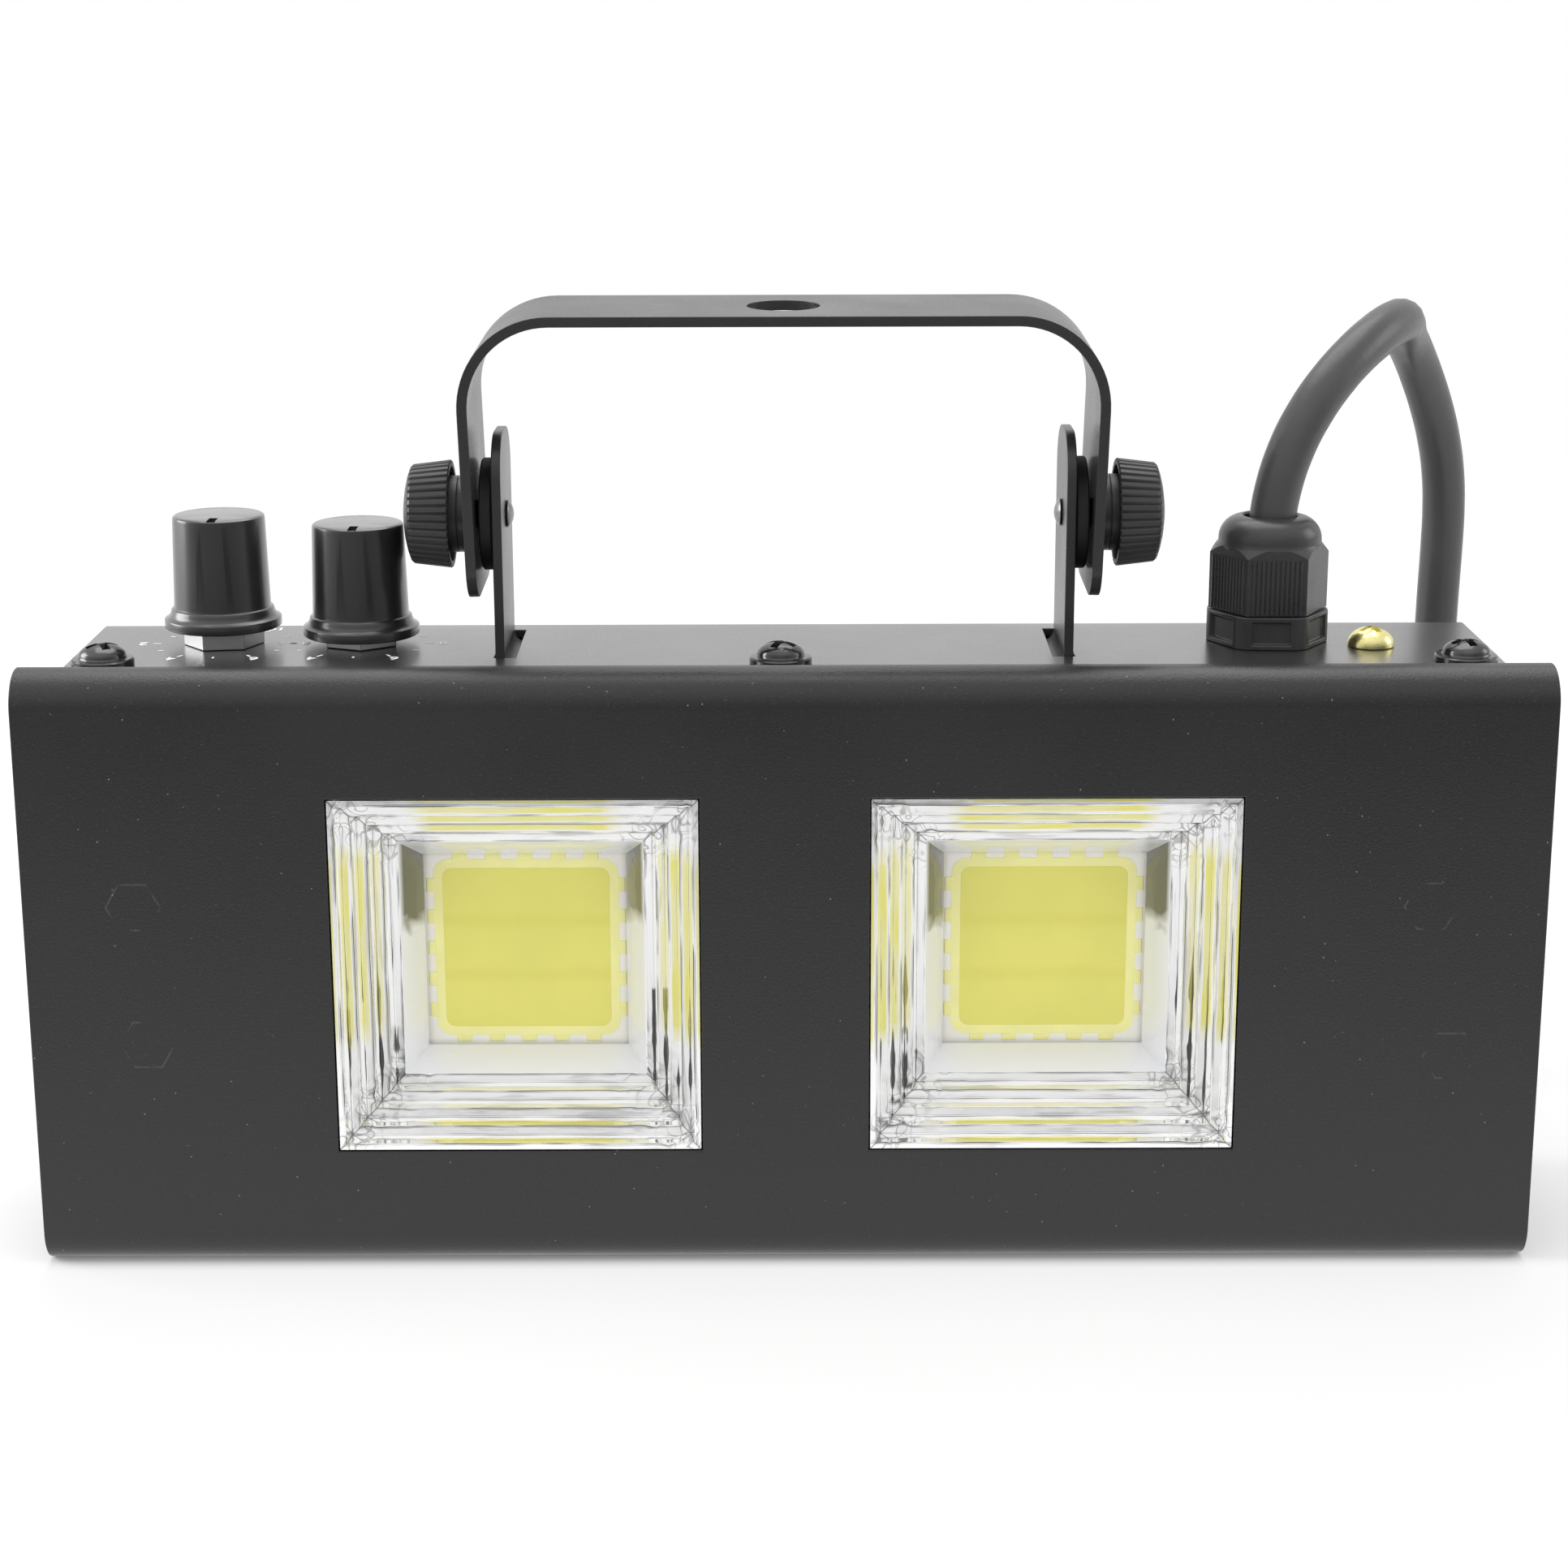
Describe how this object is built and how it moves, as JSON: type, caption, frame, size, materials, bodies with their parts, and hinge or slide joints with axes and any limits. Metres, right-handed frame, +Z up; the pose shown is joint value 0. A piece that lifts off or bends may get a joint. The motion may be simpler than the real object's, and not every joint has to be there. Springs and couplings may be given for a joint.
{
  "type": "strobe light",
  "caption": "Compact LED strobe light: sheet-metal box with two square flash windows, tilting hanging yoke with clamp knobs, speed and sound controls and a coiled mains lead.",
  "frame": {"origin": "centre of the lamp's base, where it stands, halfway between its front and its rear screws; the cord, coil and plug aren't counted", "axes": "+X to the right as seen from the front, +Y from the flash windows to the rear wall, +Z up"},
  "size_m": [0.2091, 0.155, 0.1302],
  "materials": {
    "powder_black": "satin black powder coat, fine texture",
    "panel_black": "satin black powder coat",
    "screw_black": "glossy black oxide",
    "knob_plastic": "soft matte black",
    "gland_nylon": "moulded black nylon",
    "lens_clear": "polished clear moulding",
    "white_plastic": "white heat-resistant plastic",
    "phosphor_yellow": "yellow phosphor in clear silicone",
    "aluminium": "bare extruded",
    "bright_steel": "nickel plated",
    "brass": "bright",
    "board_green": "solder mask",
    "black_rubber": "matte",
    "cord_skin": "smooth flexible sheath",
    "plug_black": "moulded",
    "winding_yellow": "yellow tape over a ferrite core",
    "capacitor_sleeve": "black shrink sleeve"
  },
  "bodies": {
    "housing": {"front_cover": "powder_black", "cover_rail_top": "powder_black", "cover_rail_bottom": "powder_black", "ear_left": "powder_black", "ear_right": "powder_black", "chassis": "panel_black", "side_plate_left": "panel_black", "side_plate_right": "panel_black", "cover_screw_top_left": "screw_black", "cover_screw_top_middle": "screw_black", "cover_screw_top_right": "screw_black", "cover_screw_bottom_left": "screw_black", "cover_screw_bottom_middle": "screw_black", "cover_screw_bottom_right": "screw_black", "gland_body": "gland_nylon", "gland_cap": "gland_nylon", "gland_locknut": "gland_nylon", "lens_left": "lens_clear", "lens_right": "lens_clear", "emitter_frame_left": "white_plastic", "emitter_frame_right": "white_plastic", "emitter_phosphor_left": "phosphor_yellow", "emitter_phosphor_right": "phosphor_yellow", "emitter_base_left": "aluminium", "emitter_base_right": "aluminium", "heat_sink_left": "aluminium", "heat_sink_right": "aluminium", "potentiometer_speed": "aluminium", "potentiometer_sound": "aluminium", "heat_sink_screw_left": "bright_steel", "heat_sink_screw_right": "bright_steel", "speed_nut": "bright_steel", "sound_nut": "bright_steel", "microphone": "bright_steel", "plug_pin_line": "bright_steel", "plug_pin_neutral": "bright_steel", "earth_screw": "brass", "earth_nut": "brass", "control_board": "board_green", "driver_board": "board_green", "gland_seal": "black_rubber", "spacer_left": "black_rubber", "spacer_right": "black_rubber", "power_cord": "cord_skin", "cord_coil": "cord_skin", "inner_lead": "cord_skin", "plug_body": "plug_black", "driver_transformer": "winding_yellow", "driver_capacitor": "capacitor_sleeve"},
    "yoke_arm": {"yoke": "powder_black"},
    "speed_control": {"speed_knob": "knob_plastic", "speed_shaft": "aluminium"},
    "sound_control": {"sound_knob": "knob_plastic", "sound_shaft": "aluminium"},
    "clamp_left": {"clamp_knob_left": "knob_plastic", "clamp_washer_left": "screw_black", "clamp_stud_left": "bright_steel"},
    "clamp_right": {"clamp_knob_right": "knob_plastic", "clamp_washer_right": "screw_black", "clamp_stud_right": "bright_steel"}
  },
  "joints": [
    {"name": "yoke_tilt", "type": "hinge", "parent": "housing", "child": "yoke_arm", "pos_m": [0, 0.00405, 0.1012], "axis": [1, 0, 0], "range_deg": [-105, 97]},
    {"name": "speed_turn", "type": "hinge", "parent": "housing", "child": "speed_control", "pos_m": [-0.0786, 0.00555, 0.093], "axis": [0, 0, 1], "range_deg": [-150, 150]},
    {"name": "sound_turn", "type": "hinge", "parent": "housing", "child": "sound_control", "pos_m": [-0.0593, 0.00555, 0.092], "axis": [0, 0, 1], "range_deg": [-150, 150]},
    {"name": "clamp_turn_left", "type": "hinge", "parent": "housing", "child": "clamp_left", "pos_m": [0, 0.00405, 0.1012], "axis": [-1, 0, 0], "range_deg": [0, 540]},
    {"name": "clamp_turn_right", "type": "hinge", "parent": "housing", "child": "clamp_right", "pos_m": [0, 0.00405, 0.1012], "axis": [1, 0, 0], "range_deg": [0, 540]}
  ]
}
